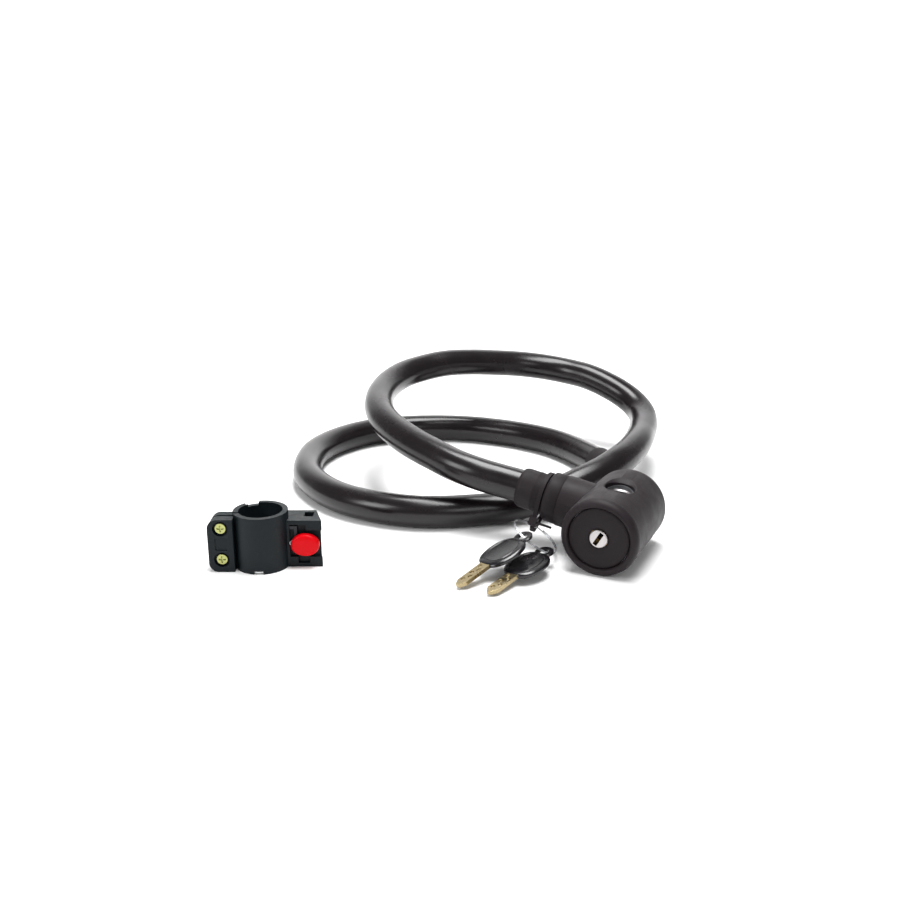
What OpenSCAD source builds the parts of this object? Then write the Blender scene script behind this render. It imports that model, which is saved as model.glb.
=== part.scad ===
// Cable lock: keyed lock head, thick covered steel cable with a locking bolt, two keys on a
// wire ring, and a clamp bracket that carries the lock on a round tube.
// Millimetres, +Z up. Everything lies on the plane Z = 0.
// The origin is the middle of the footprint of the head, keys and bracket.

/* [Lock head] */
// Outer radius of the lock head
head_r = 20.1; // [19.9:0.1:20.5]
// Length of the lock head from face to rounded back
head_len = 62; // [61:0.5:64]
// Radius of the rounded back edge
back_round = 9; // [7:0.5:10]
// Heading of the head's axis, clockwise from +Y
head_turn = 25.7; // [24:0.1:27]
// Radius of the key plug
plug_r = 4.6; // [4.4:0.1:4.7]
// Turn of the key that locks the bolt
plug_angle = 90; // [80:1:90]

/* [Bolt socket] */
// Distance of the bolt socket behind the face
socket_y = 29; // [28.5:0.25:29.5]
// Lean of the bolt socket to the right of the top
socket_lean = 6; // [4:1:8]
// Bore radius of the steel socket liner
socket_r = 5.2; // [5.1:0.05:5.3]

/* [Cable] */
// Outer radius of the covered cable
cable_r = 9; // [8.5:0.1:9]
// Upward tilt of the cable port
port_tilt = 10; // [9:0.5:11]
// Radius of the moulded sleeve at the fixed end
sleeve_r = 10.8; // [10.5:0.1:11]
// Radius of the locking bolt
bolt_r = 5; // [4.8:0.05:5]

/* [Keys] */
// Length of a key from its tip to the end of its head
key_len = 51; // [49:1:53]
// Width of a key blade
blade_w = 6.6; // [6:0.2:7]
// Width of a moulded key head
key_head_w = 20.4; // [19:0.2:21]
// Radius of the key ring's wire
ring_wire_r = 0.6; // [0.5:0.05:0.7]

/* [Bracket] */
// Bore radius of the clamp, for a 22.2 mm tube
clamp_r = 11.1; // [10.8:0.1:11.3]
// Outer radius of the clamp ring
clamp_outer_r = 13.8; // [13.6:0.1:14]
// Height of the clamp ring
clamp_h = 29.5; // [29:0.5:31]
// Spacing of the two clamp screws
screw_pitch = 16.5; // [16:0.25:17]
// Width of the release button
button_w = 14.4; // [14:0.1:14.8]
// Travel of the release button
button_travel = 2; // [1.6:0.1:2]

/* [Hidden] */
$fn = 64;
gap = 0.3;
eps = 0.01;

black = "#2e2c2e";
rubber_black = "#262426";
zinc = "#a3a5a8";
steel = "#c9ccd0";
brass = "#c2a35c";
nickel = "#c9c3b4";
bracket_black = "#2b3034";
red = "#d8121e";

// ---------------------------------------------------------------- lock head places
head_x = 76;
head_y = -21.4;
port_y = 32.3;
bezel_len = 4.2;
cover_wall = 3;
core_r = head_r - cover_wall - 0.1;
core_front = 4.4;
core_back = head_len - 6;
housing_r = 6.9;
housing_front = 3.6;
housing_back = socket_y + 11;
plug_front = 1.2;
plug_back = socket_y + 12;
keyway_w = 7.4;
keyway_h = 2.2;
keyway_len = 26;

// Latch: an arm over the housing with a leg down to the cam pin. It is drawn open, clear of
// the bolt's bore, and the key slides it inwards into the groove of the bolt.
latch_z = 9.3;
latch_t = 1.8;
latch_edge = 6.9;
latch_outer = 12.6;
latch_front = socket_y - 5.4;
latch_back = socket_y + 15.6;
leg_front = socket_y + 13.6;
cam_throw = 2.1;
pin_r = 0.9;
latch_room = latch_outer + gap;

// Cable port, measured along its own axis from the head's axis
boss_r = 13.8;
boss_end = 29.7;
collar_end = 37.9;
cable_start = 38.7;
sleeve_start = 38.2;
sleeve_end = 54.2;
ferrule_r = 7.8;
rope_r = 5;

// ---------------------------------------------------------------- shared functions
function heading(a) = [sin(a), cos(a), 0];
head_axis = heading(head_turn);
head_right = [cos(head_turn), -sin(head_turn), 0];
port_origin = [head_x, head_y, head_r] + port_y * head_axis;
port_axis = -cos(port_tilt) * head_right + [0, 0, sin(port_tilt)];
port_up = sin(port_tilt) * head_right + [0, 0, cos(port_tilt)];
function port_point(s) = port_origin + s * port_axis;

function unit(v) = v / norm(v);
function arc(cx, cy, r, from, to, steps) =
    [for (i = [0:steps]) let (a = from + (to - from) * i / steps) [cx + r * cos(a), cy + r * sin(a)]];

// Tube swept along points that never run straight up
module sweep(path, radius, sides) {
    last = len(path) - 1;
    rings = [for (i = [0:last])
        let (
            along = unit(path[min(i + 1, last)] - path[max(i - 1, 0)]),
            side = unit(cross(along, [0, 0, 1])),
            up = cross(side, along)
        )
        for (k = [0:sides - 1])
            let (a = 360 * k / sides)
            path[i] + radius * (cos(a) * side + sin(a) * up)];
    walls = [for (i = [0:last - 1], k = [0:sides - 1])
        [i * sides + k, i * sides + (k + 1) % sides,
         (i + 1) * sides + (k + 1) % sides, (i + 1) * sides + k]];
    first_cap = [for (k = [sides - 1:-1:0]) k];
    last_cap = [for (k = [0:sides - 1]) last * sides + k];
    polyhedron(rings, concat([first_cap], walls, [last_cap]), convexity = 10);
}

// Round wire coil along +Z
module coil(coil_r, wire_r, length, turns) {
    per_turn = 8;
    sides = 6;
    last = turns * per_turn;
    rings = [for (i = [0:last])
        let (a = 360 * i / per_turn, out = [cos(a), sin(a), 0],
             centre = coil_r * out + [0, 0, wire_r + (length - 2 * wire_r) * i / last])
        for (k = [0:sides - 1])
            let (b = 360 * k / sides)
            centre + wire_r * (cos(b) * out + [0, 0, sin(b)])];
    walls = [for (i = [0:last - 1], k = [0:sides - 1])
        [i * sides + k, (i + 1) * sides + k,
         (i + 1) * sides + (k + 1) % sides, i * sides + (k + 1) % sides]];
    first_cap = [for (k = [0:sides - 1]) k];
    last_cap = [for (k = [sides - 1:-1:0]) last * sides + k];
    polyhedron(rings, concat([first_cap], walls, [last_cap]), convexity = 10);
}

module rod(r, from, to) {
    translate([0, 0, from]) cylinder(r = r, h = to - from);
}

// Head frame: +Y runs from the face to the back, +X to the right, +Z up
module at_head() {
    translate([head_x, head_y, head_r]) rotate([0, 0, -head_turn]) children();
}

// Same place with +Z running from the face to the back, for turned shapes
module on_axis() {
    at_head() rotate([-90, 0, 0]) children();
}

// Socket frame: +Z runs out of the bolt socket
module at_socket() {
    at_head() translate([0, socket_y, 0]) rotate([0, socket_lean, 0]) children();
}

// Latch frame: the head frame leaned to the socket
module at_latch() {
    at_head() rotate([0, socket_lean, 0]) children();
}

// Port frame: +Z runs out along the cable, +X is up
module at_port() {
    at_head() translate([0, port_y, 0]) rotate([0, port_tilt - 90, 0]) children();
}

// ---------------------------------------------------------------- lock head
dish_r = 12.4;
counterbore_r = 7.7;
counterbore_floor = 15.2;
liner_r = 7;

module head_cover() {
    round_r = back_round;
    color(black)
    difference() {
        union() {
            on_axis()
                rotate_extrude()
                    polygon(concat(
                        [[0, bezel_len], [head_r, bezel_len]],
                        arc(head_r - round_r, head_len - round_r, round_r, 0, 90, 10),
                        [[0, head_len]]));
            at_port() rod(boss_r, 12, boss_end);
        }
        on_axis() rod(core_r + 0.1, bezel_len - eps, core_back + 0.1);
        at_port() rod(ferrule_r + 0.4, 0, boss_end + 1);
        at_socket() rod(counterbore_r, counterbore_floor - 4, head_r + 5);
        at_socket() translate([0, 0, head_r - 2.1]) cylinder(r1 = counterbore_r, r2 = dish_r + 1, h = 3.6);
        at_head() lug_screw_holes(1.7);
    }
}

module head_core() {
    color(zinc)
    difference() {
        on_axis() rod(core_r, core_front, core_back);
        on_axis() rod(housing_r + 0.05, core_front - 1, housing_back + 0.1);
        // Room for the cam and the latch leg behind the housing
        on_axis() rod(6, housing_back, housing_back + 7);
        at_latch() translate([-3, leg_front - 1.2, -5]) cube([latch_room + 3, 4.6, 20]);
        // Channel for the latch arm
        at_latch() translate([2.4, latch_front - 1, latch_z - gap])
            cube([latch_room - 2.4, 24, latch_t + 2 * gap]);
        at_socket() rod(liner_r + 0.1, 8.2, head_r);
        at_port() rod(ferrule_r + 0.05, 9, head_r);
        // Cross hole for the ferrule pin
        at_port() translate([0, 0, 13]) rotate([90, 0, 0]) cylinder(r = 1.55, h = 60, center = true);
        at_head() lug_screw_holes(1.25);
    }
}

module face_bezel() {
    inner = head_r - 4.2;
    color(black)
    on_axis()
        rotate_extrude()
            polygon(concat(
                [[inner, bezel_len - 0.1], [inner, 1.4], [inner + 0.5, 0.5]],
                [[inner + 1.2, 0]],
                arc(head_r - 2.6, 2.6, 2.6, -90, 0, 6),
                [[head_r, bezel_len - 0.1]]));
}

module face_disc() {
    disc_r = head_r - 4.5;
    color(rubber_black)
    on_axis()
        rotate_extrude()
            polygon([[plug_r + 0.3, 3.5], [plug_r + 0.3, 1.9], [plug_r + 1.8, 1.2],
                     [disc_r - 0.9, 1.2], [disc_r, 1.7], [disc_r, 3.5]]);
}

module tumbler_housing() {
    color(brass)
    on_axis()
        difference() {
            rod(housing_r, housing_front, housing_back);
            rod(plug_r + 0.05, housing_front - 1, housing_back + 1);
            // Two channels that catch the wafers while the bolt is locked
            translate([-1.6, -housing_r + 1, housing_front + 2]) cube([3.2, 2 * housing_r - 2, 16]);
        }
}

module socket_liner() {
    color(steel)
    difference() {
        at_socket() rod(liner_r, 8.3, counterbore_floor);
        at_socket() rod(socket_r, 8, counterbore_floor + 1);
        at_socket() translate([0, 0, counterbore_floor - 0.8])
            cylinder(r1 = socket_r, r2 = socket_r + 1.2, h = 0.8 + eps);
        // Window for the latch
        at_latch() translate([1, latch_front - 1, latch_z - gap])
            cube([9, 14.6, latch_t + 2 * gap]);
        on_axis() rod(housing_r + 0.3, 0, 30);
    }
}

wafer_count = 5;
wafer_t = 1.2;
wafer_pitch = 3;
wafer_first = 7;

// Keyway turned to the slant that it has with the key out
module in_plug() {
    on_axis() rotate([0, 0, 30]) children();
}

module key_plug() {
    color(nickel)
    in_plug()
        difference() {
            union() {
                rod(plug_r, plug_front, plug_back);
                translate([0, 0, plug_front - 0.3]) cylinder(r1 = plug_r - 0.3, r2 = plug_r, h = 0.3 + eps);
            }
            translate([-keyway_h / 2, -keyway_w / 2, 0]) cube([keyway_h, keyway_w, keyway_len]);
            for (i = [0:wafer_count - 1])
                translate([-2.9, -plug_r, wafer_first + i * wafer_pitch - 0.1])
                    cube([5.8, 2 * plug_r, wafer_t + 0.2]);
            translate([0, 0, plug_back - 2.6]) cylinder(r = 1.05, h = 4);
        }
}

module tumbler_wafers() {
    lift = [0.2, -0.1, 0.3, 0, -0.2];
    color(brass)
    in_plug()
        for (i = [0:wafer_count - 1])
            translate([-2.3, -3.5 + lift[i], wafer_first + i * wafer_pitch])
                difference() {
                    cube([4.6, 7, wafer_t]);
                    translate([1.2, 1, -1]) cube([2.2, 5, 4]);
                }
}

module wafer_springs() {
    color(steel)
    in_plug()
        for (i = [0:wafer_count - 1])
            translate([2.75, -1.6, wafer_first + i * wafer_pitch + wafer_t / 2])
                rotate([-90, 0, 0]) cylinder(r = 0.12, h = 3.2, $fn = 16);
}

// Half of the cam's swing, to each side of the plane through the socket
pin_angle = plug_angle / 2;

module plug_cam() {
    color(steel)
    on_axis()
        difference() {
            union() {
                rod(4.4, plug_back + 0.05, plug_back + 1.5);
                rotate([0, 0, -90 + socket_lean + pin_angle])
                    translate([cam_throw, 0, 0]) rod(pin_r, plug_back + 1.4, latch_back + 0.6);
            }
            rod(1.05, plug_back - 1, plug_back + 3);
        }
}

module cam_screw() {
    color(steel)
    on_axis() rod(1, plug_back - 2.5, plug_back + 1.2);
}

spring_y = socket_y + 9;
spring_seat = latch_outer - 2.6;

module latch() {
    slot_w = 2 * pin_r + 2 * gap;
    slot_x = cam_throw * sin(pin_angle);
    leg_top = 2.6;
    wall = 1.6;
    color(steel)
    at_latch()
        difference() {
            union() {
                translate([latch_edge, latch_front, latch_z])
                    cube([latch_outer - latch_edge, latch_back - latch_front, latch_t]);
                translate([slot_x - slot_w / 2 - wall, leg_front, -leg_top])
                    cube([slot_w + 2 * wall, latch_back - leg_front, leg_top + 4]);
                translate([slot_x + slot_w / 2, leg_front, leg_top])
                    cube([latch_outer - slot_x - slot_w / 2, latch_back - leg_front,
                          latch_z + latch_t - leg_top]);
            }
            // Vertical slot for the cam pin
            translate([slot_x - slot_w / 2, leg_front - 1, -1.4]) cube([slot_w, 4, 5.2]);
            // Blind pocket for the spring
            translate([spring_seat, spring_y, latch_z + latch_t / 2])
                rotate([0, 90, 0]) cylinder(r = 0.72, h = 3, $fn = 32);
        }
}

module latch_spring() {
    color(steel)
    at_latch()
        translate([spring_seat + 0.1, spring_y, latch_z + latch_t / 2])
            rotate([0, 90, 0]) coil(0.48, 0.14, 2.4, 4);
}

lug_w = 4;
lug_t = 5.2;
lug_len = 7.8;

module lug_screw_holes(r) {
    for (z = [-10, 10])
        translate([0, core_back - 8, z]) rotate([-90, 0, 0]) cylinder(r = r, h = 20);
}

module mounting_lug() {
    color(bracket_black)
    at_head()
        difference() {
            union() {
                translate([-4.5, head_len + 0.05, -13]) cube([9, 2, 26]);
                translate([-lug_w / 2, head_len + 1, -lug_t / 2]) cube([lug_w, lug_len + 1, lug_t]);
            }
            // Notch for the catch
            translate([-3, head_len + lug_len - 3, lug_t / 2 - 1.7]) cube([6, 2.4, 3]);
            lug_screw_holes(1.7);
        }
}

module lug_screws() {
    color(steel)
    at_head()
        for (z = [-10, 10])
            translate([0, 0, z]) rotate([-90, 0, 0])
                difference() {
                    union() {
                        rod(1.2, core_back - 7, head_len + 2.1);
                        rod(2.6, head_len + 2.1, head_len + 3.7);
                    }
                    translate([-1.6, -0.35, head_len + 2.9]) cube([3.2, 0.7, 2]);
                    translate([-0.35, -1.6, head_len + 2.9]) cube([0.7, 3.2, 2]);
                }
}

// ---------------------------------------------------------------- fixed end of the cable
module port_collar() {
    color(rubber_black)
    at_port()
        rotate_extrude()
            polygon([[ferrule_r + 0.1, boss_end + 0.1], [boss_r - 0.4, boss_end + 0.1],
                     [boss_r - 0.4, collar_end - 1.2], [boss_r - 1.6, collar_end],
                     [ferrule_r + 0.1, collar_end]]);
}

module fixed_ferrule() {
    color(steel)
    at_port()
        difference() {
            rod(ferrule_r, 9.2, 33);
            rod(rope_r + 0.05, 15, 34);
            translate([0, 0, 13]) rotate([90, 0, 0]) cylinder(r = 1.55, h = 40, center = true);
        }
}

module ferrule_pin() {
    color(steel)
    at_port() translate([0, 0, 13]) rotate([90, 0, 0]) cylinder(r = 1.5, h = 26, center = true);
}

module fixed_sleeve() {
    color(black)
    at_port()
        rotate_extrude()
            polygon([[cable_r + gap, sleeve_start], [sleeve_r, sleeve_start],
                     [sleeve_r, sleeve_end - 2.4], [sleeve_r - 0.5, sleeve_end - 0.6],
                     [sleeve_r - 1, sleeve_end], [cable_r + gap, sleeve_end]]);
}

// ---------------------------------------------------------------- cable
// The route starts in the fixed sleeve, runs round the raised loop, comes down behind the
// head, goes round the loop on the floor and ends at the locking bolt.
free_end = [101, 125, 10];
route = concat(
    [for (s = [cable_start, 46.7, 55.7]) port_point(s)],
    [
        [27, 37, 32], [17, 41, 34], [7, 47, 36], [-2, 55, 38], [-16, 70, 41], [-28, 87, 44],
        [-37, 107, 47], [-41, 132, 50], [-38, 159, 53], [-28, 181, 56], [-13, 195, 58],
        [2, 204, 59], [19, 212, 58], [36, 219, 56], [53, 224, 54], [70, 224, 52], [86, 219, 50],
        [101, 209, 48], [116, 197, 43], [127, 186, 37], [132, 173, 32], [131, 157, 29],
        [126, 137, 28], [119, 115, 28], [110, 96, 27], [101, 83, 25.5], [91, 74, 22.5],
        [80, 68, 19.5], [69, 63, 16], [55, 58, 13], [39, 54, 10], [26, 51, 9], [4, 47, 9],
        [-15, 47, 9], [-35, 53, 9], [-55, 65, 9], [-71, 83, 9], [-83, 107, 9], [-87, 131, 9],
        [-85, 158, 9], [-74, 183, 9], [-54, 204, 9], [-28, 214, 9], [-2, 216, 9], [19, 213, 9],
        [38, 206, 9], [56, 196, 9], [73, 181.5, 9], [85, 164.5, 9], [94, 145, 9.5]
    ],
    [free_end]);

module cable() {
    color("#2a262a") sweep(route, cable_r, 12);
}

// Ends of the wire rope inside the cable, bared where the ferrules grip it
module wire_rope_ends() {
    color(steel) {
        at_port() rod(rope_r, 15.1, cable_start - 0.05);
        at_free_end() rod(rope_r, 0.6, 8);
    }
}

// Free end frame: +Z runs along the bolt
module at_free_end() {
    translate(free_end) rotate([-90, 0, -160]) children();
}

module free_sleeve() {
    sleeve_outer = 9.9;
    color(black)
    at_free_end()
        rotate_extrude()
            polygon([[cable_r + gap, -8], [sleeve_outer - 0.3, -8], [sleeve_outer, -7],
                     [sleeve_outer, 10.5], [sleeve_outer - 1, 12], [6.9, 12], [6.9, 0.8],
                     [cable_r + gap, 0.8]]);
}

module free_ferrule() {
    color(steel)
    at_free_end()
        difference() {
            rod(6.8, 0.9, 12.2);
            rod(rope_r + 0.05, 0, 8.1);
        }
}

module locking_bolt() {
    groove_r = 3.5;
    color(steel)
    at_free_end()
        rotate_extrude()
            polygon([[0, 12.25], [7.2, 12.25], [7.4, 12.6], [7.4, 14.6], [7, 15], [bolt_r, 15],
                     [bolt_r, 18.6], [groove_r, 18.9], [groove_r, 21.1], [bolt_r, 21.4],
                     [bolt_r - 0.6, 22], [0, 22]]);
}

// ---------------------------------------------------------------- key tie, ring and keys
tie_s = 39.7;
tie_w = 2.4;
tie_t = 1.1;
tie_inner_r = 11.2;
loop_down = 14.85;
loop_front = 10.3;
loop_r = 1.9;
ring_top = port_point(tie_s) - loop_down * port_up - loop_front * head_axis;

// Keys: the end of the head and the direction to the tip
key_hole_inset = 5;
hole_1 = [40.6, -6.8, 15.4];
tip_1 = [7.2, -35.4, 2];
hole_2 = [51.4, -8.4, 8];
tip_2 = [21.8, -43.4, 2];

// Circle of the key ring through the tie's loop and both key holes
leg_a = hole_1 - ring_top;
leg_b = hole_2 - ring_top;
ring_normal = unit(cross(leg_a, leg_b));
ring_centre = ring_top + cross(leg_a * leg_a * leg_b - leg_b * leg_b * leg_a, cross(leg_a, leg_b))
    / (2 * cross(leg_a, leg_b) * cross(leg_a, leg_b));
ring_r = norm(ring_centre - ring_top);

module key_tie() {
    to_front = atan2(loop_front, loop_down);
    far = norm([loop_down, loop_front]);
    color(rubber_black)
    at_port()
        rotate([0, 0, 180 + to_front])
            translate([0, 0, tie_s - tie_w / 2]) {
                linear_extrude(tie_w)
                    difference() {
                        hull() {
                            circle(tie_inner_r + tie_t);
                            translate([far, 0]) circle(loop_r + tie_t, $fn = 24);
                        }
                        hull() {
                            circle(tie_inner_r);
                            translate([far, 0]) circle(loop_r, $fn = 24);
                        }
                    }
                // Lock box of the tie and its cut tail
                translate([far - 3.6, 2.6, -1]) cube([4.4, 3.4, tie_w + 2]);
                translate([far - 1.9, 3.6, -9]) cube([1.1, 1.6, 9]);
            }
}

// Turns +Z onto a direction
module point_to(v) {
    rotate([0, acos(v[2] / norm(v)), atan2(v[1], v[0])]) children();
}

module key_ring() {
    color(steel)
    translate(ring_centre) point_to(ring_normal)
        rotate_extrude() translate([ring_r, 0]) circle(ring_wire_r, $fn = 20);
}

// Key frame: origin at the key hole, +Y towards the tip, +Z out of the face
module at_key(hole, tip, roll) {
    d = unit(tip - hole);
    translate(hole) rotate([asin(d[2]), 0, -atan2(d[0], d[1])]) rotate([0, roll, 0]) children();
}

head_t = 3.2;
eyelet_t = 1.6;
key_head_end = 27.5;
blade_t = 1.9;

module key_head_shape() {
    color(rubber_black)
    difference() {
        translate([0, 0, -head_t / 2])
            linear_extrude(head_t)
                hull() {
                    translate([0, -0.7]) circle(key_hole_inset - 0.7, $fn = 32);
                    translate([0, 11.8]) scale([1, 1.1]) circle(key_head_w / 2, $fn = 48);
                    translate([0, key_head_end - 5]) circle(5, $fn = 32);
                }
        // Thin eyelet with a long hole for the ring
        for (side = [0, 180])
            rotate([0, side, 0]) translate([-6, -6, eyelet_t / 2]) cube([12, 9.2, head_t]);
        translate([0, 0, -head_t])
            linear_extrude(2 * head_t)
                hull() for (x = [-0.6, 0.6]) translate([x, 0]) circle(2.4, $fn = 32);
        // Slot for the blade's root
        translate([-blade_w / 2 - 0.05, 10, -blade_t / 2 - 0.05]) cube([blade_w + 0.1, 20, blade_t + 0.1]);
    }
}

module key_blade_shape() {
    tip = key_len - key_hole_inset;
    half = blade_w / 2;
    color(nickel)
    difference() {
        translate([0, 0, -blade_t / 2])
            linear_extrude(blade_t)
                polygon([[-half, 10.1], [half, 10.1], [half, tip - 3.4], [half - 2.2, tip],
                         [-half + 2.2, tip], [-half, tip - 3.4]]);
        for (i = [0:4])
            translate([i % 2 == 0 ? 1 : -1, key_head_end + 1.6 + i * 3, blade_t / 2])
                sphere(r = 1.1, $fn = 24);
    }
}

module key_head_1() { at_key(hole_1, tip_1, 8) key_head_shape(); }
module key_blade_1() { at_key(hole_1, tip_1, 8) key_blade_shape(); }
module key_head_2() { at_key(hole_2, tip_2, 4) key_head_shape(); }
module key_blade_2() { at_key(hole_2, tip_2, 4) key_blade_shape(); }

// ---------------------------------------------------------------- frame bracket
bracket_x = -92;
bracket_y = -4.5;
ear_left = -25.2;
ear_right = -12.4;
ear_front = -10.5;
slit_front = -4.9;
slit_back = -3.4;
ear_back = 1.5;
ear_h = 28;
screw_x = -18.6;
screw_mid = ear_h / 2 + 0.95;
block_left = 12;
block_right = 31;
block_back_right = 26.6;
block_front = -3.6;
block_back = 11.5;
block_h = 25;
slot_left = 21.2;
slot_right = 26;
slot_front = 2.5;
slot_rear = 8.5;
button_x = 22.6;
button_z = 12.6;
button_h = 11.4;
button_back = -3.5;
button_front = -7.5;
recess_y = button_back + button_travel + 0.2;
catch_z = 20.15;
catch_t = 1.6;
rail_left = 14.6;
rail_right = 18.4;
lip_front = 6.6;
lip_back = 7.8;
rail_front = -2.9;
channel_end = lip_back + button_travel + gap;
tab_left = 16.9;
tab_foot = 12.5;
tab_t = 1.4;
spring_x = 15.4;
cover_screw_x = 15.6;
cover_screw_z = [5.2, 17];

module at_bracket() {
    translate([bracket_x, bracket_y, 0]) children();
}

// Cylinder along +Y from one depth to another
module along_y(r, x, z, from, to, fn = 48) {
    translate([x, from, z]) rotate([-90, 0, 0]) cylinder(r = r, h = to - from, $fn = fn);
}

module ear_plate() {
    corner = 5;
    translate([0, ear_back, 0])
        rotate([90, 0, 0])
            linear_extrude(ear_back - ear_front)
                union() {
                    translate([ear_left + corner, 0]) square([ear_right - ear_left - corner, ear_h]);
                    translate([ear_left, corner]) square([corner + 1, ear_h - 2 * corner]);
                    translate([ear_left + corner, corner]) circle(corner);
                    translate([ear_left + corner, ear_h - corner]) circle(corner);
                }
}

module block_solid() {
    linear_extrude(block_h)
        polygon([[block_left, block_front], [block_right, block_front],
                 [block_back_right, block_back], [block_left, block_back]]);
}

module bracket_body() {
    color(bracket_black)
    at_bracket()
        difference() {
            union() {
                cylinder(r = clamp_outer_r, h = clamp_h, $fn = 96);
                ear_plate();
                difference() {
                    block_solid();
                    // Sunk field round the button, open to the right
                    translate([block_left + 2.6, -10, 5.4]) cube([20, 10 + recess_y, 14.4]);
                    translate([block_left + 2.6, -10, 19.7]) cube([8.4, 8.2, 3]);
                    translate([block_left + 6.6, -10, 2]) cube([6, 8.2, 3.5]);
                    // Channel of the catch
                    translate([rail_left - gap, rail_front - gap, catch_z - gap])
                        cube([rail_right - rail_left + 2 * gap, channel_end - rail_front + gap,
                              catch_t + 2 * gap]);
                    // Room for the catch's tab behind the button
                    translate([tab_left - gap, rail_front - gap, tab_foot - gap])
                        cube([rail_right - tab_left + 2 * gap, tab_t + button_travel + 2 * gap,
                              catch_z - tab_foot + gap]);
                    translate([rail_left - gap, lip_front - gap, catch_z - gap])
                        cube([slot_right - rail_left, channel_end - lip_front + gap,
                              catch_t + 2 * gap]);
                    // Seat of the back cover
                    translate([13.6, block_back - 1.5, 2]) cube([11.6, 3, 20]);
                }
            }
            translate([0, 0, -1]) cylinder(r = clamp_r, h = clamp_h + 2, $fn = 96);
            // Slit between the two ears
            translate([ear_left - 1, slit_front, -1]) cube([17, slit_back - slit_front, clamp_h + 2]);
            // Flex notches in the rims
            translate([-9.5, 8, clamp_h - 1.4]) cube([6.6, 8, 3]);
            translate([-2.3, -15, -1]) cube([4.6, 6, 2.6]);
            for (z = [screw_mid - screw_pitch / 2, screw_mid + screw_pitch / 2]) {
                along_y(1.65, screw_x, z, ear_front - 1, ear_back + 1);
                along_y(3.9, screw_x, z, ear_front - 1, ear_front + 2.2);
                along_y(3.3, screw_x, z, ear_back - 2.2, ear_back + 1, fn = 6);
            }
            // Shallow pocket between the screws
            translate([screw_x - 3, ear_front - 1, screw_mid - 3.2]) cube([6, 1.5, 6.4]);
            // Slot that takes the lock's lug
            translate([slot_left, slot_front, 1.5])
                cube([slot_right - slot_left, slot_rear - slot_front, block_h]);
            // Guide of the button's stem
            translate([button_x - 4.3, -4, button_z - 3.8]) cube([8.6, 5.2, 7.6]);
            along_y(1.5, spring_x, button_z, -4, 5.5, fn = 32);
            for (z = cover_screw_z)
                along_y(0.8, cover_screw_x, z, block_back - 5, block_back + 1, fn = 24);
        }
}

module clamp_screws() {
    color("#bfc08a")
    at_bracket()
        for (z = [screw_mid - screw_pitch / 2, screw_mid + screw_pitch / 2])
            difference() {
                union() {
                    along_y(2.75, screw_x, z, ear_front + 0.5, ear_front + 2.1);
                    along_y(1.5, screw_x, z, ear_front + 2, ear_back - 0.1);
                }
                translate([screw_x - 1.7, ear_front, z - 0.35]) cube([3.4, 1.2, 0.7]);
                translate([screw_x - 0.35, ear_front, z - 1.7]) cube([0.7, 1.2, 3.4]);
            }
}

module clamp_nuts() {
    color("#bfc08a")
    at_bracket()
        for (z = [screw_mid - screw_pitch / 2, screw_mid + screw_pitch / 2])
            difference() {
                along_y(3.1, screw_x, z, ear_back - 2.1, ear_back, fn = 6);
                along_y(1.55, screw_x, z, ear_back - 3, ear_back + 1);
            }
}

module block_cover() {
    color(bracket_black)
    at_bracket()
        difference() {
            translate([13.8, block_back - 1.4, 2.2]) cube([11.2, 1.4, 19.6]);
            for (z = cover_screw_z)
                along_y(1.1, cover_screw_x, z, block_back - 3, block_back + 1, fn = 24);
        }
}

module cover_screws() {
    color(steel)
    at_bracket()
        for (z = cover_screw_z) {
            along_y(0.75, cover_screw_x, z, block_back - 4.6, block_back + 0.1, fn = 24);
            along_y(1.7, cover_screw_x, z, block_back + 0.05, block_back + 0.9, fn = 24);
        }
}

// Pointed oval of the button, from two large arcs with blunt tips
module button_outline() {
    half_w = button_w / 2 + 0.6;
    half_h = button_h / 2;
    arc_r = (half_w * half_w + half_h * half_h) / (2 * half_h);
    intersection() {
        translate([0, arc_r - half_h]) circle(arc_r, $fn = 96);
        translate([0, half_h - arc_r]) circle(arc_r, $fn = 96);
        square([button_w, button_h + 1], center = true);
    }
}

module release_button() {
    color(red)
    at_bracket() {
        translate([button_x, button_back, button_z]) rotate([90, 0, 0]) {
            linear_extrude(button_back - button_front - 0.8) button_outline();
            translate([0, 0, button_back - button_front - 0.8]) linear_extrude(0.8, scale = 0.9)
                button_outline();
        }
        translate([button_x - 4, button_back, button_z - 3.5]) cube([8, 2.4, 7]);
        // Heel that the catch's tab is fixed to
        translate([tab_left, button_back, tab_foot])
            cube([button_x - 4 - tab_left, rail_front - button_back - 0.02, 3]);
    }
}

module catch_plate() {
    color(steel)
    at_bracket() {
        translate([0, 0, catch_z])
            linear_extrude(catch_t)
                polygon([[rail_left, rail_front], [rail_right, rail_front],
                         [rail_right, lip_front], [slot_right - 0.6, lip_front],
                         [slot_right - 0.6, lip_back], [rail_left, lip_back]]);
        translate([tab_left, rail_front, tab_foot])
            cube([rail_right - tab_left, tab_t, catch_z - tab_foot + catch_t]);
    }
}

module button_spring() {
    color(steel)
    at_bracket()
        translate([spring_x, button_back + 0.05, button_z]) rotate([-90, 0, 0]) coil(0.95, 0.22, 6.6, 7);
}

head_cover();
head_core();
face_bezel();
face_disc();
tumbler_housing();
socket_liner();
key_plug();
tumbler_wafers();
wafer_springs();
plug_cam();
cam_screw();
latch();
latch_spring();
mounting_lug();
lug_screws();
port_collar();
fixed_ferrule();
ferrule_pin();
fixed_sleeve();
wire_rope_ends();
cable();
free_sleeve();
free_ferrule();
locking_bolt();
key_tie();
key_ring();
key_head_1();
key_blade_1();
key_head_2();
key_blade_2();
bracket_body();
clamp_screws();
clamp_nuts();
block_cover();
cover_screws();
release_button();
catch_plate();
button_spring();
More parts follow.
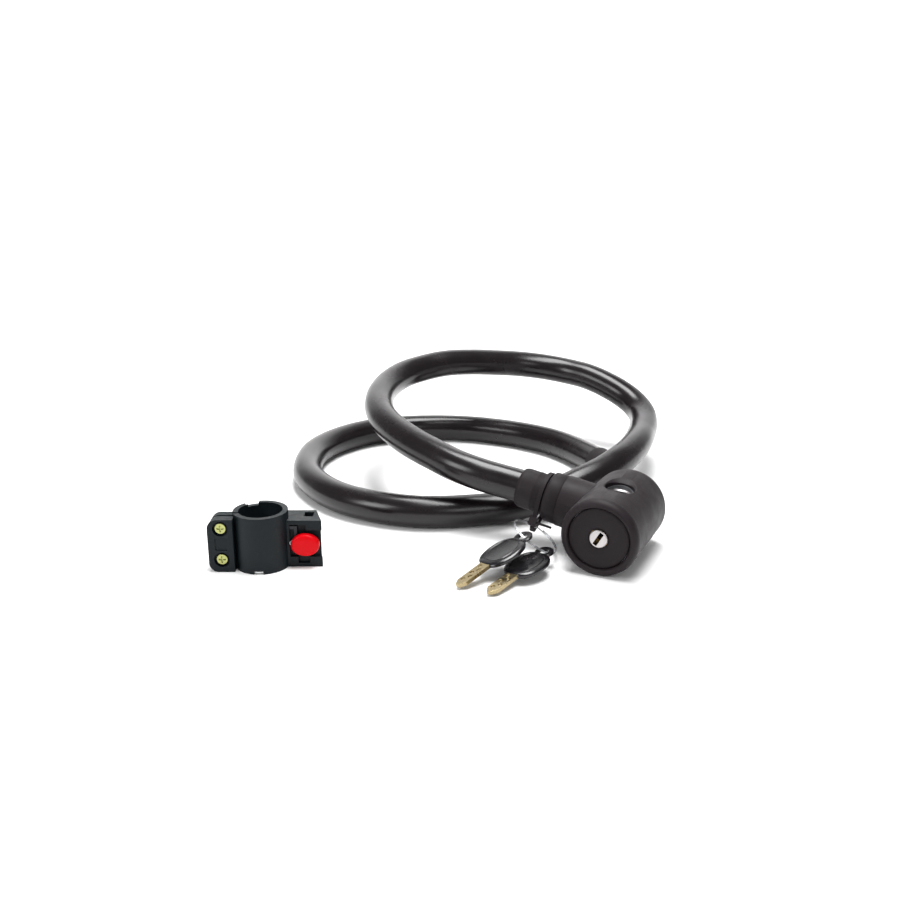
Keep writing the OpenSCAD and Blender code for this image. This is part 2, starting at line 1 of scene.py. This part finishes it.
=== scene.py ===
# %% [markdown]
# # A keyed cable lock, its keys and its frame bracket
#
# The lock is a thick covered steel cable with a cylindrical head at one end and a locking bolt at
# the other. Two keys hang on a wire ring, and a small clamp bracket carries the lock on a tube.
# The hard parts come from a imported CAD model, the frame. This lesson gives them their real edges
# and finishes, makes the soft-looking parts again in finer shape, and lights the scene.

# %% The frame
import math

import bmesh
import bpy
from mathutils import Matrix, Vector


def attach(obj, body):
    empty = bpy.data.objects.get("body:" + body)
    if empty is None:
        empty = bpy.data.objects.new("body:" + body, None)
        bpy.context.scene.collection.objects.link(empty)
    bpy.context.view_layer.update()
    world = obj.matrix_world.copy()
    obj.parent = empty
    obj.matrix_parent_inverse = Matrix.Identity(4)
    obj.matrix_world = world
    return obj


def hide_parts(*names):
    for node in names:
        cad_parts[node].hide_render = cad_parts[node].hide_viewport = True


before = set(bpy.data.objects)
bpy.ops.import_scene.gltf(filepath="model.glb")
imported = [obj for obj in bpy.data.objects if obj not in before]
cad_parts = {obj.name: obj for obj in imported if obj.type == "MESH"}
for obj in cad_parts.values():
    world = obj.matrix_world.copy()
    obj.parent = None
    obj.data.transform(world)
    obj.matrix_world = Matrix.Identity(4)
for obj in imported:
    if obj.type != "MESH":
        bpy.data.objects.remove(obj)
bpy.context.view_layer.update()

MM = 0.001

# %% [markdown]
# ## Camera
#
# A thing this small is best shown from a little above it and from close by. A 40 mm lens at
# almost half a metre keeps the near head larger than the far side of the cable.

# %% Camera
CAMERA_AT = (3.6, -476.5, 209)
LOOKS_DOWN = 17.4
camera_data = bpy.data.cameras.new("camera")
camera_data.lens = 40
camera_data.sensor_width = 36
camera = bpy.data.objects.new("camera", camera_data)
camera.location = Vector(CAMERA_AT) * MM
camera.rotation_euler = (math.radians(90 - LOOKS_DOWN), 0, 0)
bpy.context.scene.collection.objects.link(camera)
bpy.context.scene.camera = camera
print("camera at", tuple(round(v, 3) for v in camera.location))

# %% [markdown]
# ## Places
#
# Each part of the lock has a place of its own: the head lies on its side and is turned a little,
# the cable port looks out of its left, and the free end and the bracket lie apart. A matrix for
# each place lets a piece be made upright in millimetres and then laid where it belongs.


# %% Places of the parts
def turned(degrees, axis):
    return Matrix.Rotation(math.radians(degrees), 4, axis)


def moved(x, y, z):
    return Matrix.Translation((x, y, z))


TO_METRES = Matrix.Scale(MM, 4)
HEAD_R = 20.1
HEAD_TURN = 25.7
PORT_Y = 32.3
PORT_TILT = 10
FREE_END = (101, 125, 10)
FREE_HEADING = 160
AT_HEAD = moved(76, -21.4, HEAD_R) @ turned(-HEAD_TURN, "Z")
ON_AXIS = AT_HEAD @ turned(-90, "X")
AT_PORT = AT_HEAD @ moved(0, PORT_Y, 0) @ turned(PORT_TILT - 90, "Y")
AT_FREE_END = moved(*FREE_END) @ turned(-FREE_HEADING, "Z") @ turned(-90, "X")
AT_BRACKET = moved(-92, -4.5, 0)
# How far along the port's axis the cable comes out of the collar.
CABLE_START = 38.7


def port_point(s):
    return AT_PORT @ Vector((0, 0, s))


print("the cable leaves the head at", tuple(round(v, 1) for v in port_point(CABLE_START)))

# %% [markdown]
# ## Finishes
#
# A finish is a material named for what the real part is made of and how its surface came about.
# Its colours are given as screen colours, as in a paint chart, and one function turns them into
# the linear values that the shader wants. Another adds a node with its settings and its links.


# %% Colours and nodes
def linear(code):
    channels = [int(code[i:i + 2], 16) / 255 for i in (1, 3, 5)]
    return [c / 12.92 if c <= 0.04045 else ((c + 0.055) / 1.055) ** 2.4 for c in channels] + [1.0]


def add(tree, kind, settings=None, links=None):
    """Adds a node, sets its properties and sockets, and links sources into its sockets."""
    made = tree.nodes.new(kind)
    for key, value in (settings or {}).items():
        if isinstance(key, str) and hasattr(made, key):
            setattr(made, key, value)
        else:
            made.inputs[key].default_value = value
    for key, source in (links or {}).items():
        tree.links.new(source, made.inputs[key])
    return made


# %% [markdown]
# Nearly all of these surfaces are moulded, cast or plated, so they share one recipe. A slow
# pattern shifts the colour and the gloss a little, as handling and uneven cooling do, and a fine
# one gives the grain of the mould or of the metal. Each pattern's size is in real millimetres.


# %% The shared recipe
def surface(name, dark, light, rough, grain_mm, grain_depth_mm, metallic=0.0, ior=1.5,
            patch_mm=9.0, specular=0.5):
    material = bpy.data.materials.new(name)
    material.use_nodes = True
    tree = material.node_tree
    shader = tree.nodes["Principled BSDF"]
    place = add(tree, "ShaderNodeTexCoord").outputs["Object"]
    patches = add(tree, "ShaderNodeTexNoise",
                  {"Scale": 1 / (patch_mm * MM), "Detail": 4.0, "Roughness": 0.6}, {"Vector": place})
    grain = add(tree, "ShaderNodeTexNoise", {"Scale": 1 / (grain_mm * MM), "Detail": 2.0},
                {"Vector": place})
    colour = add(tree, "ShaderNodeMix", {"data_type": "RGBA", 6: linear(dark), 7: linear(light)},
                 {0: patches.outputs["Fac"]})
    gloss = add(tree, "ShaderNodeMapRange",
                {"From Min": 0.3, "From Max": 0.7, "To Min": rough[0], "To Max": rough[1]},
                {"Value": patches.outputs["Fac"]})
    bump = add(tree, "ShaderNodeBump", {"Strength": 1.0, "Distance": grain_depth_mm * MM},
               {"Height": grain.outputs["Fac"]})
    for socket, source in {"Base Color": colour.outputs[2], "Roughness": gloss.outputs["Result"],
                           "Normal": bump.outputs["Normal"]}.items():
        tree.links.new(source, shader.inputs[socket])
    shader.inputs["Metallic"].default_value = metallic
    if metallic == 0:
        shader.inputs["IOR"].default_value = ior
        shader.inputs["Specular IOR Level"].default_value = specular
    return material


# %% [markdown]
# Each finish has a comment on what it gives the eye. The plastics differ mostly in gloss, and the
# metals in colour. The two numbers in brackets are the least and the greatest roughness.

# %% Plastics and rubber
# The cable's cover is a glossy black, so it carries long and clear highlights.
VINYL = surface("extruded_vinyl_cover", "#0b0709", "#140e11", (0.2, 0.3), 1.4, 0.008, ior=1.54,
                patch_mm=22, specular=0.34)
# The head's cover is duller, and spreads each light into a broad and weak sheen.
ABS = surface("moulded_black_abs", "#191417", "#221c1f", (0.46, 0.6), 0.35, 0.02, ior=1.53, specular=0.15)
# Sleeves, collar, tie and face disc are the flattest blacks, with hardly a highlight.
SOFT = surface("moulded_black_rubber", "#181416", "#211c1f", (0.5, 0.66), 0.3, 0.02, specular=0.15)
# The key grips are polished, and show small bright lights on their rims.
KEY_GRIP = surface("polished_key_grip", "#0a090b", "#121014", (0.16, 0.28), 0.5, 0.008, ior=1.53,
                   specular=0.45)
# The bracket is a black with some blue in it, which sets it apart from the warmer head.
NYLON = surface("moulded_blue_black_nylon", "#0a1013", "#141c20", (0.4, 0.54), 0.4, 0.03, ior=1.53,
                specular=0.15)
# The button is the one strong colour, a clean red with little shine to wash it out.
RED = surface("moulded_red_button", "#b5010c", "#c80310", (0.28, 0.4), 0.5, 0.008, specular=0.1)

# %% Metals
# The head's hidden core is a grainy mid grey.
ZINC = surface("die_cast_zinc", "#7f8184", "#a2a4a7", (0.45, 0.6), 0.5, 0.03, metallic=1.0)
# Bolt, ring and small screws are the brightest and smoothest metal.
STEEL = surface("plated_steel", "#b9bbbe", "#d6d8da", (0.2, 0.32), 0.25, 0.006, metallic=1.0)
# The tumblers and their housing are a plain yellow metal.
BRASS = surface("turned_brass", "#b08d45", "#cdaa63", (0.25, 0.38), 0.3, 0.008, metallic=1.0)
# The key blades are a worn nickel, with brass warming the dark places.
NICKEL = surface("nickel_plated_brass", "#7c6d52", "#b3a47e", (0.22, 0.36), 0.3, 0.01, metallic=1.0)
# The key plug is a satin grey, so its keyway reads as a dark slot.
CHROME = surface("satin_chromed_zinc", "#a19d9d", "#bdb9b9", (0.3, 0.44), 0.3, 0.008, metallic=1.0)
# The socket's liner is steel with small patches, painted darker as shade for the deep socket, so it glints
# only at its rim.
LINER = surface("tool_steel_painted_dark_as_socket_shade", "#4c4a4b", "#8a8788", (0.26, 0.4), 0.3, 0.01, metallic=1.0,
                patch_mm=2.5)
# The clamp's screws and nuts are a greenish gold with small patches.
GOLD_ZINC = surface("yellow_passivated_zinc", "#8d9154", "#b4b67c", (0.3, 0.42), 0.3, 0.01, metallic=1.0,
                    patch_mm=2.5)
# The catch plate is a blackened spring steel, and its dark colour is also painted shade for the gap under
# the button, where its tab shows.
SPRING = surface("blackened_spring_steel_and_gap_shade", "#2a2a2c", "#3c3c3f", (0.35, 0.5), 0.3, 0.01, metallic=1.0)
# The rope's bared ends are a light grey with a coarse grain for their strands.
ROPE = surface("galvanised_wire_rope", "#85878a", "#aeb0b2", (0.35, 0.5), 1.2, 0.12, metallic=1.0,
               patch_mm=3)
print("finishes:", len(bpy.data.materials))

# %% [markdown]
# ## Making pieces
#
# Every piece goes through the same last steps: its mesh is laid in its place, its edges get the
# small radius that a mould or a tumbler leaves, it rides on its body, and it takes over from the
# plain CAD node. A bevel limited by angle rounds the real edges and leaves curved faces alone.


# %% The last steps of a piece
def piece(bm, name, material, body, place=None, stands_for=(), edge=0.0, steps=2,
          sharp=35):
    if place is not None:
        bmesh.ops.transform(bm, matrix=TO_METRES @ place, verts=bm.verts)
    mesh = bpy.data.meshes.new(name)
    bm.to_mesh(mesh)
    bm.free()
    mesh.materials.append(material)
    mesh.shade_smooth()
    mesh.set_sharp_from_angle(angle=math.radians(sharp))
    made = bpy.data.objects.new(name, mesh)
    bpy.context.scene.collection.objects.link(made)
    if edge:
        bevel = made.modifiers.new("edges", "BEVEL")
        bevel.width = edge * MM
        bevel.segments = steps
        bevel.limit_method = "ANGLE"
        bevel.angle_limit = math.radians(sharp)
        bevel.harden_normals = True
    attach(made, body)
    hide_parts(*stands_for)
    print(name, len(mesh.polygons), "faces")
    return made


# %% [markdown]
# A turned part is a profile spun round its own axis. The profile is a line of points, each a
# radius and a height, and the end of the spin merges with its start. A line that runs back to its
# own start makes a ring, as for a sleeve, and one that begins and ends on the axis makes a solid.


# %% Turned parts
def lathe(profile, sides=128, closed=False):
    bm = bmesh.new()
    verts = [bm.verts.new((r, 0, z)) for r, z in profile]
    edges = [bm.edges.new(pair) for pair in zip(verts, verts[1:])]
    if closed:
        edges.append(bm.edges.new((verts[-1], verts[0])))
    bmesh.ops.spin(bm, geom=verts + edges, cent=(0, 0, 0), axis=(0, 0, 1), angle=2 * math.pi,
                   steps=sides, use_merge=True, use_duplicate=False)
    bmesh.ops.remove_doubles(bm, verts=bm.verts, dist=1e-4)
    bmesh.ops.recalc_face_normals(bm, faces=bm.faces)
    return bm


# %% [markdown]
# A machined or moulded part whose shape is right in the CAD model is copied, its loose triangles
# are joined, and flat areas are merged into whole faces. Only then can a bevel find its edges.


# %% Copies of CAD parts
def copied(*nodes):
    bm = bmesh.new()
    for n in nodes:
        bm.from_mesh(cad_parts[n].data)
    bmesh.ops.remove_doubles(bm, verts=bm.verts, dist=2e-6)
    bmesh.ops.dissolve_limit(bm, angle_limit=math.radians(0.6), verts=bm.verts, edges=bm.edges)
    return bm


# %% [markdown]
# ## Cable
#
# The cable is a steel wire rope in a thick vinyl cover, extruded as one long tube. It leaves the
# head to the left, climbs back over its own loop, comes down behind the head, goes once round on
# the floor and ends at the locking bolt. A curve through the points of its route is the natural
# way to make it, because the cable keeps the same round section along its whole length. Each
# handle is a third of the way to its neighbour, and none goes lower than the cable's own radius,
# so the cable lies on the floor and never sinks into it.

# %% Route of the cable
ROUTE = [tuple(port_point(s)) for s in (CABLE_START, 46.7, 55.7)] + [
    (27, 37, 32), (17, 41, 34), (7, 47, 36), (-2, 55, 38), (-16, 70, 41), (-28, 87, 44),
    (-37, 107, 47), (-41, 132, 50), (-38, 159, 53), (-28, 181, 56), (-13, 195, 58), (2, 204, 59),
    (19, 212, 58), (36, 219, 56), (53, 224, 54), (70, 224, 52), (86, 219, 50), (101, 209, 48),
    (116, 197, 43), (127, 186, 37), (132, 173, 32), (131, 157, 29), (126, 137, 28), (119, 115, 28),
    (110, 96, 27), (101, 83, 25.5), (91, 74, 22.5), (80, 68, 19.5), (69, 63, 16), (55, 58, 13),
    (39, 54, 10), (26, 51, 9), (4, 47, 9), (-15, 47, 9), (-35, 53, 9), (-55, 65, 9), (-71, 83, 9),
    (-83, 107, 9), (-87, 131, 9), (-85, 158, 9), (-74, 183, 9), (-54, 204, 9), (-28, 214, 9),
    (-2, 216, 9), (19, 213, 9), (38, 206, 9), (56, 196, 9), (73, 181.5, 9), (85, 164.5, 9),
    (94, 145, 9.5), FREE_END]
CABLE_D = 18

cable_curve = bpy.data.curves.new("cable_cover", "CURVE")
cable_curve.dimensions = "3D"
cable_curve.bevel_depth = CABLE_D / 2 * MM
cable_curve.bevel_resolution = 14
cable_curve.resolution_u = 8
cable_curve.use_fill_caps = True
line = cable_curve.splines.new("BEZIER")
line.bezier_points.add(len(ROUTE) - 1)
for i, (point, place) in enumerate(zip(line.bezier_points, ROUTE)):
    before = Vector(ROUTE[max(i - 1, 0)])
    after = Vector(ROUTE[min(i + 1, len(ROUTE) - 1)])
    here = Vector(place)
    along = (after - before).normalized()
    point.handle_left_type = point.handle_right_type = "FREE"
    point.co = here * MM
    for handle, step in (("handle_left", here - before), ("handle_right", after - here)):
        side = -1 if handle == "handle_left" else 1
        spot = here + side * along * step.length / 3
        spot.z = max(spot.z, CABLE_D / 2)
        setattr(point, handle, spot * MM)
cable = bpy.data.objects.new("cable_cover", cable_curve)
bpy.context.scene.collection.objects.link(cable)
cable_curve.materials.append(VINYL)
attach(cable, "lock")
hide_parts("cable")

# %% [markdown]
# The sleeve at the fixed end is moulded on in one shot. It is a plain tube a little thicker than
# the cable, and it ends in a small step that spreads the bend. A dark collar closes the gap
# between the sleeve and the boss of the head. Both are turned shapes.

# %% Fixed end of the cable
sleeve = piece(
    lathe([(9.3, 38.2), (10.5, 38.2), (10.8, 38.5), (10.8, 44.3), (10.95, 44.6), (10.95, 45.2),
           (10.8, 45.5), (10.8, 51.9), (10.62, 52.8), (10.3, 53.6), (9.8, 54.2), (9.3, 54.2)],
          closed=True),
    "sleeve_fixed", SOFT, "lock", AT_PORT, ["fixed_sleeve"], edge=0.25, steps=3)
piece(
    lathe([(7.9, 29.8), (13.2, 29.8), (13.4, 30.1), (13.4, 36.3), (13.2, 37.0), (12.6, 37.6),
           (11.9, 37.9), (7.9, 37.9)], closed=True),
    "collar_port", SOFT, "lock", AT_PORT, ["port_collar"], edge=0.3, steps=3)

# %% [markdown]
# The free end carries the locking bolt. A sleeve covers its pressed ferrule, and the bolt has a
# flange, a groove for the latch and a tapered nose. All of it is round, so it is turned as well.

# %% Free end of the cable
free_sleeve = piece(
    lathe([(9.3, -8), (9.6, -8), (9.9, -7.4), (9.9, 10.2), (9.6, 11.2), (8.9, 12), (6.9, 12),
           (6.9, 0.8), (9.3, 0.8)], closed=True),
    "sleeve_free", SOFT, "lock", AT_FREE_END, ["free_sleeve"], edge=0.25)
bolt = piece(
    lathe([(0, 12.25), (7.2, 12.25), (7.4, 12.5), (7.4, 14.7), (7.1, 15), (5, 15), (5, 18.6),
           (3.5, 18.9), (3.5, 21.1), (5, 21.4), (4.9, 21.75), (4.4, 22), (0, 22)]),
    "bolt_locking", STEEL, "lock", AT_FREE_END, ["locking_bolt"], edge=0.15)

# %% [markdown]
# ## Floor and light
#
# The lock lies on white studio paper that curves up behind it, so no horizon shows. There are four
# soft lights: a wide one overhead and one on the left give the cable its long highlights, a weak
# one in front opens the shadows, and a strong one at the back lights the paper.

# %% Studio paper
PAPER = surface("studio_paper", "#f3f3f3", "#f8f8f8", (0.75, 0.85), 0.8, 0.01, patch_mm=60)
# The paper's measures are in metres: its width, where its curve starts, and the curve's radius.
PAPER_WIDTH = 5
CURVE_Y = 1.2
CURVE_R = 0.8
CURVE_STEPS = 12
bm = bmesh.new()
paper_line = [(0, -1.5, 0), (0, CURVE_Y, 0)]
for k in range(1, CURVE_STEPS + 1):
    a = math.radians(90 * k / CURVE_STEPS)
    paper_line.append((0, CURVE_Y + CURVE_R * math.sin(a), CURVE_R - CURVE_R * math.cos(a)))
paper_line.append((0, CURVE_Y + CURVE_R, 2.6))
verts = [bm.verts.new(Vector(p) + Vector((-PAPER_WIDTH / 2, 0, 0))) for p in paper_line]
edges = [bm.edges.new(pair) for pair in zip(verts, verts[1:])]
run = bmesh.ops.extrude_edge_only(bm, edges=edges)
far_side = [v for v in run["geom"] if isinstance(v, bmesh.types.BMVert)]
bmesh.ops.translate(bm, vec=(PAPER_WIDTH, 0, 0), verts=far_side)
bmesh.ops.recalc_face_normals(bm, faces=bm.faces)
paper_mesh = bpy.data.meshes.new("studio_paper")
bm.to_mesh(paper_mesh)
bm.free()
paper_mesh.shade_smooth()
paper_mesh.materials.append(PAPER)
paper = bpy.data.objects.new("studio_paper", paper_mesh)
bpy.context.scene.collection.objects.link(paper)


# %% Lights
def soft_light(name, place, aim, size, watts):
    data = bpy.data.lights.new(name, "AREA")
    data.shape = "RECTANGLE"
    data.size, data.size_y = size
    data.energy = watts
    light = bpy.data.objects.new(name, data)
    light.location = place
    light.rotation_euler = (Vector(aim) - Vector(place)).to_track_quat("-Z", "Y").to_euler()
    bpy.context.scene.collection.objects.link(light)
    print(name, watts, "W")


soft_light("overhead", (0.05, 0.12, 0.9), (0, 0.1, 0), (0.8, 0.38), 15)
soft_light("left", (-0.75, -0.45, 0.5), (0, 0.05, 0.02), (0.35, 0.4), 4)
soft_light("front", (0.45, -1.0, 0.6), (0.03, 0.05, 0.02), (0.5, 0.3), 1.8)
soft_light("backdrop", (0, 0.9, 1.3), (0, 1.95, 0.7), (2.0, 0.6), 34)
world = bpy.data.worlds.new("studio")
bpy.context.scene.world = world
world.use_nodes = True
background = world.node_tree.nodes["Background"]
background.inputs["Color"].default_value = linear("#ffffff")
background.inputs["Strength"].default_value = 0.3
bpy.context.scene.view_settings.view_transform = "Standard"

# %% [markdown]
# ## Lock head
#
# The cover is one black moulding: a round can with a rounded back, a boss for the cable and a
# dished hole for the bolt. Its shape is right in the CAD model, so it is copied and its edges
# are rounded. The bezel and the face disc are turned, with the chamfer that catches the light.

# %% Cover, bezel and face
piece(copied("head_cover"), "cover_head", ABS, "lock", None, ["head_cover"],
      edge=0.35, steps=3)
piece(
    lathe([(15.9, 4.1), (15.9, 1.6), (16.1, 0.9), (16.5, 0.35), (17.0, 0.05), (17.6, 0.06),
           (18.4, 0.45), (19.1, 1.15), (19.65, 2.05), (19.98, 3.0), (20.1, 3.7), (20.1, 4.1)],
          closed=True),
    "bezel_face", ABS, "lock", ON_AXIS, ["face_bezel"], edge=0.1)
piece(
    lathe([(4.9, 3.5), (4.9, 2.0), (5.5, 1.55), (6.4, 1.25), (14.4, 1.25), (15.0, 1.4), (15.6, 1.8),
           (15.6, 3.5)], closed=True),
    "disc_face", SOFT, "lock", ON_AXIS, ["face_disc"], edge=0.12)

# %% [markdown]
# The metal of the socket and of the key plug shows only in small places, so it must be crisp. Their
# holes are right in the CAD model, so both are copied, and a very small radius gives each edge a
# thin line of light.

# %% Socket and plug
piece(copied("socket_liner"), "liner_socket", LINER, "lock", None, ["socket_liner"],
      edge=0.12)
piece(copied("key_plug"), "plug_key", CHROME, "plug", None, ["key_plug"], edge=0.15)

# %% [markdown]
# ## Tie and ring
#
# A dark tie round the sleeve holds the key ring. Its strap and lock box are simple shapes that the
# CAD model already has, so it is copied. The ring hangs in the tie and carries both keys. Three
# points give one circle, so its centre and radius follow from the tie and the two key holes.

# %% Tie and ring
piece(copied("key_tie"), "tie_keys", SOFT, "lock", None, ["key_tie"], edge=0.25,
      steps=3)

RING_TOP = AT_PORT @ Vector((-14.85, -10.3, 39.7))
HOLES = {1: Vector((40.6, -6.8, 15.4)), 2: Vector((51.4, -8.4, 8))}
TIPS = {1: Vector((7.2, -35.4, 2)), 2: Vector((21.8, -43.4, 2))}
leg_a = HOLES[1] - RING_TOP
leg_b = HOLES[2] - RING_TOP
normal = leg_a.cross(leg_b)
across = normal.cross(leg_a) * leg_b.length_squared + leg_b.cross(normal) * leg_a.length_squared
centre = RING_TOP + across / (2 * normal.length_squared)
ring_r = (centre - RING_TOP).length
AT_RING = moved(*centre) @ normal.to_track_quat("Z", "Y").to_matrix().to_4x4()
print("key ring radius", round(ring_r, 2), "mm")

# %% [markdown]
# A split ring is a spring wire wound twice on itself. A small circle spun almost two turns, with a
# little climb, makes both layers in one go, and its two cut ends are closed with caps.

# %% Split ring
WIRE_R = 0.34
RING_STEPS = 192
# The whole climb lays the second layer against the first. The winding stops a little short of two
# whole turns, so the wire's two ends don't line up.
RING_CLIMB = 3.8 * WIRE_R
RING_GAP = 0.3
bm = bmesh.new()
bmesh.ops.create_circle(bm, cap_ends=False, segments=14, radius=WIRE_R)
bmesh.ops.rotate(bm, verts=bm.verts, cent=(0, 0, 0), matrix=Matrix.Rotation(math.radians(90), 3, "X"))
bmesh.ops.translate(bm, vec=(ring_r, 0, -WIRE_R), verts=bm.verts)
bmesh.ops.spin(bm, geom=bm.verts[:] + bm.edges[:], cent=(0, 0, 0), axis=(0, 0, 1),
               dvec=(0, 0, RING_CLIMB / RING_STEPS), angle=4 * math.pi - RING_GAP,
               steps=RING_STEPS, use_merge=False, use_duplicate=False)
open_edges = [e for e in bm.edges if e.is_boundary]
bmesh.ops.holes_fill(bm, edges=open_edges, sides=0)
bmesh.ops.recalc_face_normals(bm, faces=bm.faces)
piece(bm, "ring_keys", STEEL, "ring", AT_RING, ["key_ring"])

# %% [markdown]
# ## Keys
#
# Each key is a plated blade with a moulded grip, and it hangs by a hole in the grip. A key's place
# starts at that hole, points at the tip, which lies on the floor, and is rolled a little about
# its length, so that the two keys don't lie alike.


# %% Places of the keys
def key_place(i, roll):
    along = (TIPS[i] - HOLES[i]).normalized()
    heading = math.degrees(math.atan2(along.x, along.y))
    return (moved(*HOLES[i]) @ turned(-heading, "Z") @ turned(math.degrees(math.asin(along.z)), "X")
            @ turned(roll, "Y"))


# %% [markdown]
# The grip is a thin oval cushion moulded over the blade, with a flat eye for the key ring. A plate
# with bevelled edges would look cut from sheet. So half of the cushion is grown from a disc by
# insets that climb less and less, with a shallow groove round its face, and a mirror makes the
# other half. The eye is turned. The blade's shape is right in the CAD model, so it is copied.


# %% Key grips
def cushion(half_w, half_l, wall, rises, fullness=1.0):
    bm = bmesh.new()
    bmesh.ops.create_circle(bm, cap_ends=True, segments=64, radius=1)
    for v in bm.verts:
        v.co.x = math.copysign(abs(v.co.x) ** fullness, v.co.x)
    bmesh.ops.scale(bm, vec=(half_w, half_l, 1), verts=bm.verts)
    base = bm.faces[:]
    raised = bmesh.ops.extrude_face_region(bm, geom=base)
    bmesh.ops.delete(bm, geom=base, context="FACES_ONLY")
    top = [g for g in raised["geom"] if isinstance(g, bmesh.types.BMFace)]
    bmesh.ops.translate(bm, vec=(0, 0, wall), verts=top[0].verts)
    for thickness, depth in rises:
        bmesh.ops.inset_region(bm, faces=top, thickness=thickness, use_even_offset=True)
        bmesh.ops.translate(bm, vec=(0, 0, depth), verts=top[0].verts)
    bmesh.ops.poke(bm, faces=top)
    return bm


# Each pair is the width of an inset and its climb. The fifth and the seventh are the groove's sides.
GRIP_RISES = [(0.25, 0.35), (0.45, 0.3), (0.8, 0.25), (1.2, 0.15), (0.25, -0.18),
              (0.3, 0), (0.25, 0.2), (1.6, 0.05), (1.8, 0.03)]
# The distance from the eye to the middle of the grip.
GRIP_MIDDLE = 14.9


def grip_mesh():
    bm = cushion(10.2, 12.6, 0.45, GRIP_RISES, fullness=0.75)
    bmesh.ops.mirror(bm, geom=bm.verts[:] + bm.edges[:] + bm.faces[:], merge_dist=1e-3, axis="Z")
    bmesh.ops.translate(bm, vec=(0, GRIP_MIDDLE, 0), verts=bm.verts)
    eye = lathe([(2.45, -0.5), (2.75, -0.8), (4.6, -0.8), (4.95, -0.5), (4.95, 0.5), (4.6, 0.8),
                 (2.75, 0.8), (2.45, 0.5)], sides=64, closed=True)
    part = bpy.data.meshes.new("part")
    eye.to_mesh(part)
    eye.free()
    bm.from_mesh(part)
    bpy.data.meshes.remove(part)
    bmesh.ops.recalc_face_normals(bm, faces=bm.faces)
    return bm


for i, roll in ((1, 8), (2, 4)):
    piece(grip_mesh(), f"grip_{i}", KEY_GRIP, f"key_{i}", key_place(i, roll), [f"key_head_{i}"])
    piece(copied(f"key_blade_{i}"), f"blade_{i}", NICKEL, f"key_{i}", None, [f"key_blade_{i}"],
          edge=0.2, steps=3)

# %% [markdown]
# ## Bracket
#
# The bracket is one moulding: an open clamp ring for the tube, an ear that two screws pull shut,
# and a block with a slot and a button. It could be built again from boxes and rings, but all its
# walls are right in the CAD model, so it is copied and its edges get a mould's radius. The screws
# are copied too, with a smaller radius that keeps their crosses sharp.

# %% Bracket
piece(copied("bracket_body"), "bracket_shell", NYLON, "bracket", None, ["bracket_body"],
      edge=0.35, steps=3)
piece(copied("clamp_screws"), "screws_clamp", GOLD_ZINC, "bracket", None, ["clamp_screws"],
      edge=0.2)

# %% [markdown]
# The release button is a domed oval on a square stem. The dome is a cushion like the key grip's,
# and the stem is a block behind it.

# %% Button
BUTTON_RISES = [(0.22, 0.45), (0.4, 0.35), (0.7, 0.25), (1.1, 0.18), (1.5, 0.1)]
bm = cushion(7.2, 5.7, 2.6, BUTTON_RISES)
stem = bmesh.ops.create_cube(bm, size=1)["verts"]
bmesh.ops.scale(bm, vec=(8, 7, 2.6), verts=stem)
bmesh.ops.translate(bm, vec=(0, 0, -1.1), verts=stem)
piece(bm, "button_red", RED, "button", AT_BRACKET @ moved(22.6, -3.5, 12.6) @ turned(90, "X"),
      ["release_button"], edge=0.15)

# %% [markdown]
# ## Inner parts
#
# The rest is hidden inside the head and the bracket, and keeps its CAD shape. Each part still
# gets the finish of the real one, because the model is looked at from inside too.

# %% Finishes of the inner parts
INNER = {
    ZINC: ["head_core"],
    BRASS: ["tumbler_housing", "tumbler_wafers"],
    STEEL: ["plug_cam", "cam_screw", "latch", "lug_screws", "fixed_ferrule", "free_ferrule", "ferrule_pin",
            "cover_screws", "wafer_springs", "latch_spring", "button_spring"],
    # The catch plate's dark finish is partly painted shade for the gap under the button.
    SPRING: ["catch_plate"],
    ROPE: ["wire_rope_ends"],
    GOLD_ZINC: ["clamp_nuts"],
    NYLON: ["mounting_lug", "block_cover"],
}
for material, nodes in INNER.items():
    for n in nodes:
        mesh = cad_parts[n].data
        mesh.materials.clear()
        mesh.materials.append(material)
print("inner parts:", sum(len(nodes) for nodes in INNER.values()))
